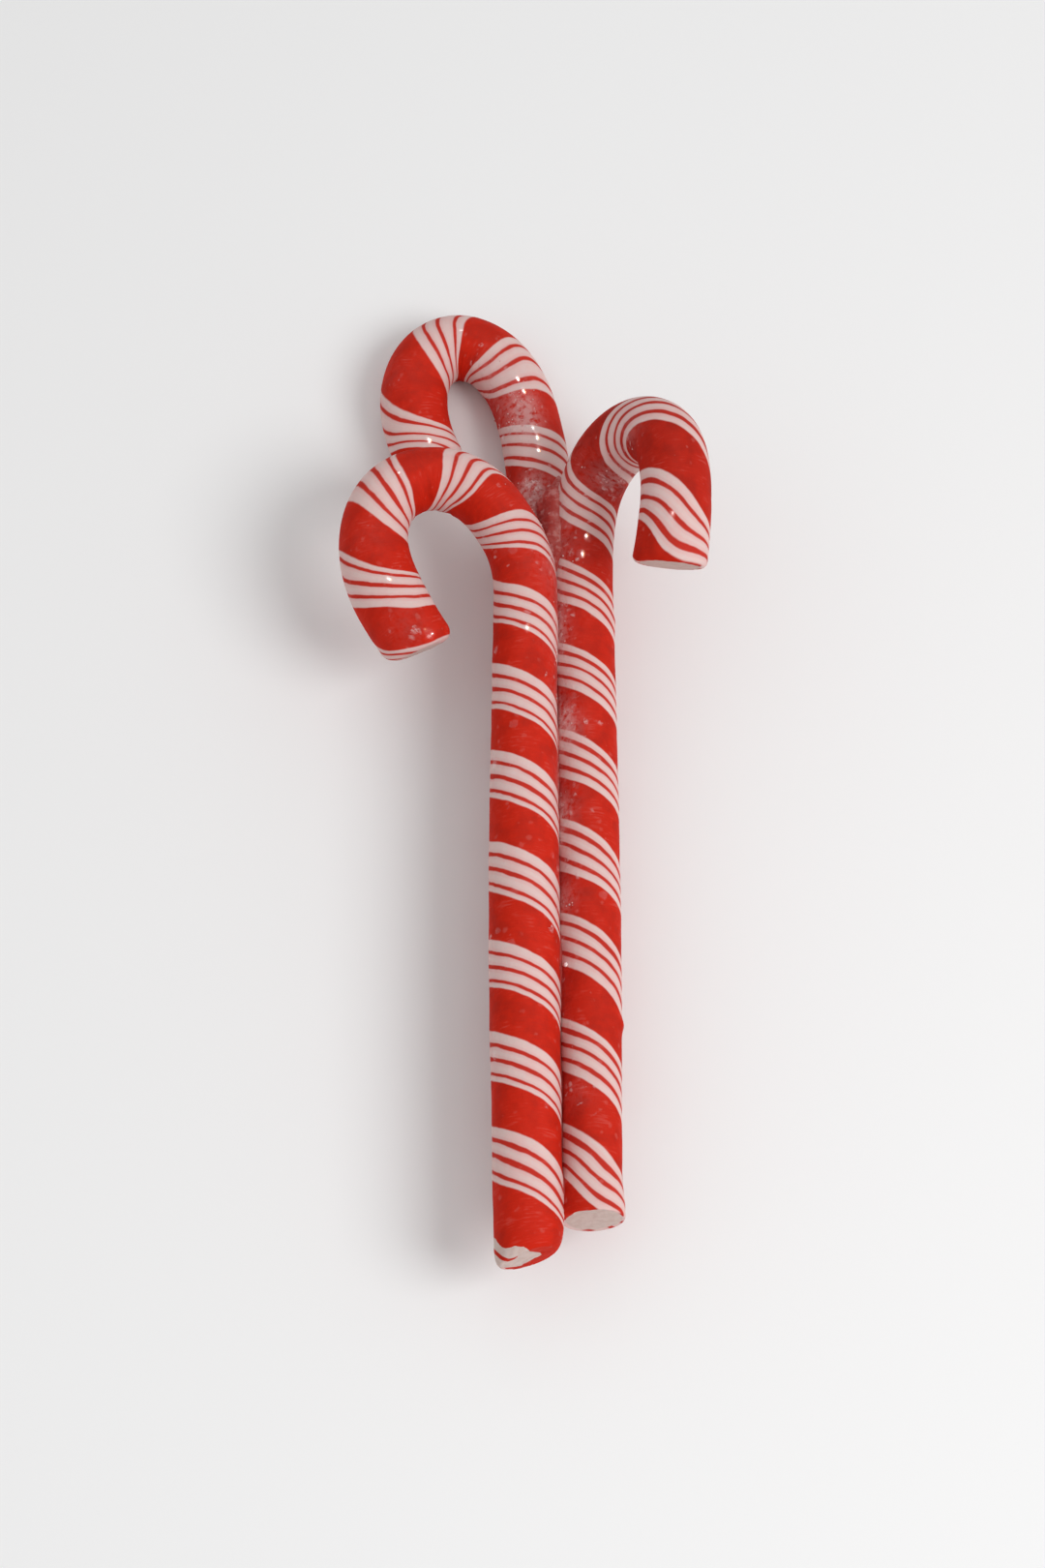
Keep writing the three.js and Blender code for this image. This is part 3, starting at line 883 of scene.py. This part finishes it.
def peppermint(cane):
    """Pulled sugar: red and white skin under frost, a pale core where it is cut, and spots that shine."""
    sh = Shader("peppermint_" + cane.name)
    straight = sh.attribute("straight", "Vector")
    uneven = sh.shaken(straight, 0.9, 0.9)
    streaks = sh.noise(sh.stretch(straight, (3.2, 0.4, 0.4)), 1.0, 2.0)
    blotches = sh.noise(straight, 0.3, 2.0, 0.55)
    grain = sh.noise(straight, 1.1, 2.0, 0.6)
    white, lines, bleed = stripes(sh, cane, straight)

    deep = sh.plus(sh.attribute("deep"), sh.ramp(blotches, 0.42, 0.68, 0.0, 0.35), clamp=True)
    deep = sh.plus(deep, sh.ramp(streaks, 0.3, 0.6, 0.12, 0.0), clamp=True)
    red = sh.mix(deep, RED, DEEP_RED)
    red = sh.mix(sh.times(lines, 0.5), red, LINE_RED)
    bubbles = sh.spots(uneven, 0.8, 0.2, (0.1, 0.34), 0.5)
    bloom = sh.times(sh.ramp(blotches, 0.5, 0.34), sh.ramp(streaks, 0.5, 0.72))
    red = sh.mix(sh.plus(sh.times(bloom, 0.14), sh.times(bubbles, 0.2), clamp=True), red, BLOOM)
    pale = sh.mix(sh.times(bleed, 0.35), WHITE, PINK_WHITE)
    pale = sh.mix(sh.times(sh.ramp(blotches, 0.5, 0.7), 0.25), pale, PINK_WHITE)
    cloud = frost_cloud(sh, straight, grain)
    colour = sh.mix(cloud, sh.mix(white, red, pale), FROST)

    over = sh.attribute("over")
    colour = sh.mix(sh.ramp(over, -0.04, 0.04), colour, red)
    core = sh.ramp(sh.minus(sh.attribute("core"), sh.times(sh.minus(grain, 0.5), 0.3)), -0.05, 0.05)
    core = sh.times(core, sh.ramp(over, 0.04, -0.04))
    colour = sh.mix(core, colour, sh.mix(sh.ramp(grain, 0.4, 0.65), CORE, CORE_SHADE))

    rough = sh.plus(sh.ramp(streaks, 0.3, 0.75, 0.6, 0.7), sh.times(core, 0.15))
    drops = sh.spots(uneven, 0.35, 0.18, (0.12, 0.3), 0.3)
    wet = sh.plus(sh.attribute("wet"), drops, clamp=True)
    sh.set(Base_Color=colour, Roughness=rough, Specular_IOR_Level=0.05)
    sh.set(Coat_Weight=sh.ramp(wet, 0.3, 0.75), Coat_Roughness=0.2, Coat_IOR=1.5)
    sh.set(Subsurface_Weight=0.1, Subsurface_Radius=(1.0, 0.3, 0.2), Subsurface_Scale=0.6 * MM)
    height = sh.plus(sh.times(streaks, 0.35), sh.times(grain, 0.5))
    height = sh.plus(height, sh.times(cloud, 1.2))
    sh.bump(height, 0.1)
    return sh.material


def glaze_material():
    """Set glaze, half clear: dark and red low down in the crevice, frosted towards the hooks."""
    sh = Shader("glaze_frosted")
    place = sh.place_in_mm()
    split = sh.tree.nodes.new("ShaderNodeSeparateXYZ")
    sh.put(split.inputs[0], place)
    cloud = sh.noise(place, 0.55, 3.0, 0.55)
    grain = sh.noise(place, 1.8, 2.0, 0.6)
    pale = sh.plus(sh.ramp(cloud, 0.48, 0.68), sh.times(sh.ramp(grain, 0.55, 0.8), 0.3), clamp=True)
    flecks = sh.spots(sh.shaken(place, 0.7, 1.2), 0.9, 0.55, (0.14, 0.42), 0.8)
    pale = sh.plus(sh.times(pale, 0.7), sh.times(flecks, 0.7), clamp=True)
    pale = sh.times(pale, sh.ramp(split.outputs[1], -40, 30, 0.1, 0.95))
    sh.set(Base_Color=sh.mix(pale, GLAZE_DARK, GLAZE_PALE), Roughness=sh.ramp(grain, 0.3, 0.7, 0.5, 0.68))
    sh.set(Specular_IOR_Level=0.15, Coat_Weight=0.08, Coat_Roughness=0.3, Coat_IOR=1.3)
    sh.set(Subsurface_Weight=0.2, Subsurface_Radius=(1.0, 0.35, 0.25), Subsurface_Scale=0.8 * MM)
    sh.bump(sh.plus(cloud, sh.times(grain, 0.6)), 0.12)
    return sh.material


def sugar_material(name, dark, pale, roughness, specular):
    """Clear or frosted sugar that clouds from one colour to the other. On the drop, the pale colours are a
    painted glint.
    """
    sh = Shader(name)
    cloud = sh.noise(sh.place_in_mm(), 0.6, 1.0)
    sh.set(Base_Color=sh.mix(sh.ramp(cloud, 0.35, 0.65), dark, pale))
    sh.set(Roughness=roughness, Specular_IOR_Level=specular)
    sh.set(Subsurface_Weight=0.3, Subsurface_Radius=(1.0, 0.5, 0.4), Subsurface_Scale=0.5 * MM)
    return sh.material


def table_material():
    sh = Shader("table_pale")
    sh.set(Base_Color=(0.86, 0.86, 0.86, 1), Roughness=0.9, Specular_IOR_Level=0.2)
    return sh.material


# ---- light and camera --------------------------------------------------------------------

AIM = Vector((-0.22, -4.87, 12)) * MM
VIEW_HEIGHT = math.radians(62)      # how steeply the camera looks down
VIEW_DISTANCE = 675 * MM
VIEW_LENS, FRAME_HEIGHT = 100, 36   # in mm
STUDIO_LIGHT = 0.64
TABLE_HALF, TABLE_THICK = 3.0, 0.02


def make_camera():
    """The photo's view, with the whole of it in the frame."""
    data = bpy.data.cameras.new("camera")
    data.sensor_fit = "VERTICAL"
    data.sensor_height = FRAME_HEIGHT
    data.lens = VIEW_LENS
    data.clip_start = 0.02
    camera = bpy.data.objects.new("camera", data)
    back = Vector((0, -math.cos(VIEW_HEIGHT), math.sin(VIEW_HEIGHT)))
    camera.location = AIM + back * VIEW_DISTANCE
    camera.rotation_euler = (math.pi / 2 - VIEW_HEIGHT, 0, 0)
    bpy.context.scene.collection.objects.link(camera)
    bpy.context.scene.camera = camera


def make_light(name, place, size, watts, colour=(1, 1, 1), sparks_only=False):
    """A round lamp that points at the candy. One for sparks is seen in what shines, and lights nothing."""
    data = bpy.data.lights.new(name, "AREA")
    data.shape = "DISK"
    data.size = size
    data.energy = watts
    data.color = colour
    light = bpy.data.objects.new(name, data)
    light.location = AIM + Vector(place)
    light.rotation_euler = (-Vector(place)).to_track_quat("-Z", "Y").to_euler()
    light.visible_diffuse = not sparks_only
    light.visible_transmission = not sparks_only
    bpy.context.scene.collection.objects.link(light)


def make_table():
    """The pale slab that the candy lies on."""
    outline = [(x * TABLE_HALF, y * TABLE_HALF) for x, y in ((-1, -1), (1, -1), (1, 1), (-1, 1))]
    corners = [(x, y, z) for z in (-TABLE_THICK, 0) for x, y in outline]
    sides = [(k, (k + 1) % 4, 4 + (k + 1) % 4, 4 + k) for k in range(4)]
    mesh = bpy.data.meshes.new("table")
    mesh.from_pydata(corners, [], [(3, 2, 1, 0), (4, 5, 6, 7)] + sides)
    table = bpy.data.objects.new("table", mesh)
    bpy.context.scene.collection.objects.link(table)
    table.data.materials.append(table_material())


def make_studio():
    """Soft light from all round, a softbox, and three lamps for sparks."""
    world = bpy.data.worlds.new("studio")
    bpy.context.scene.world = world
    world.use_nodes = True
    background = world.node_tree.nodes["Background"]
    background.inputs["Color"].default_value = (1, 1, 1, 1)
    background.inputs["Strength"].default_value = STUDIO_LIGHT
    make_light("softbox", (0.56, -0.32, 0.68), 0.5, 4.5)
    make_light("lamp", (0.03, 0.36, 0.6), 0.06, 3, sparks_only=True)
    make_light("lamp_right", (0.55, 0.09, 0.43), 0.06, 3, sparks_only=True)
    make_light("warm_lamp", (0.1, 0.36, 0.59), 0.05, 1.2, (1, 0.5, 0.15), sparks_only=True)
    bpy.context.scene.view_settings.view_transform = "Standard"


# ---- put together ------------------------------------------------------------------------

make_camera()
make_table()
make_studio()
for cane in canes.values():
    make_cane(cane).data.materials.append(peppermint(cane))
glaze = glaze_material()
for piece in (make_bead(), make_seam()):
    piece.data.materials.append(glaze)
make_grains().data.materials.append(sugar_material("sugar_grain", GLAZE_PALE, FROST, 0.45, 0.25))
# The drop's pale colours are a painted glint on it.
make_drop().data.materials.append(sugar_material("sugar_drop_painted_glint", PAINTED_GLINT_PINK, PAINTED_GLINT_WHITE, 0.2, 0.6))

bpy.context.view_layer.update()
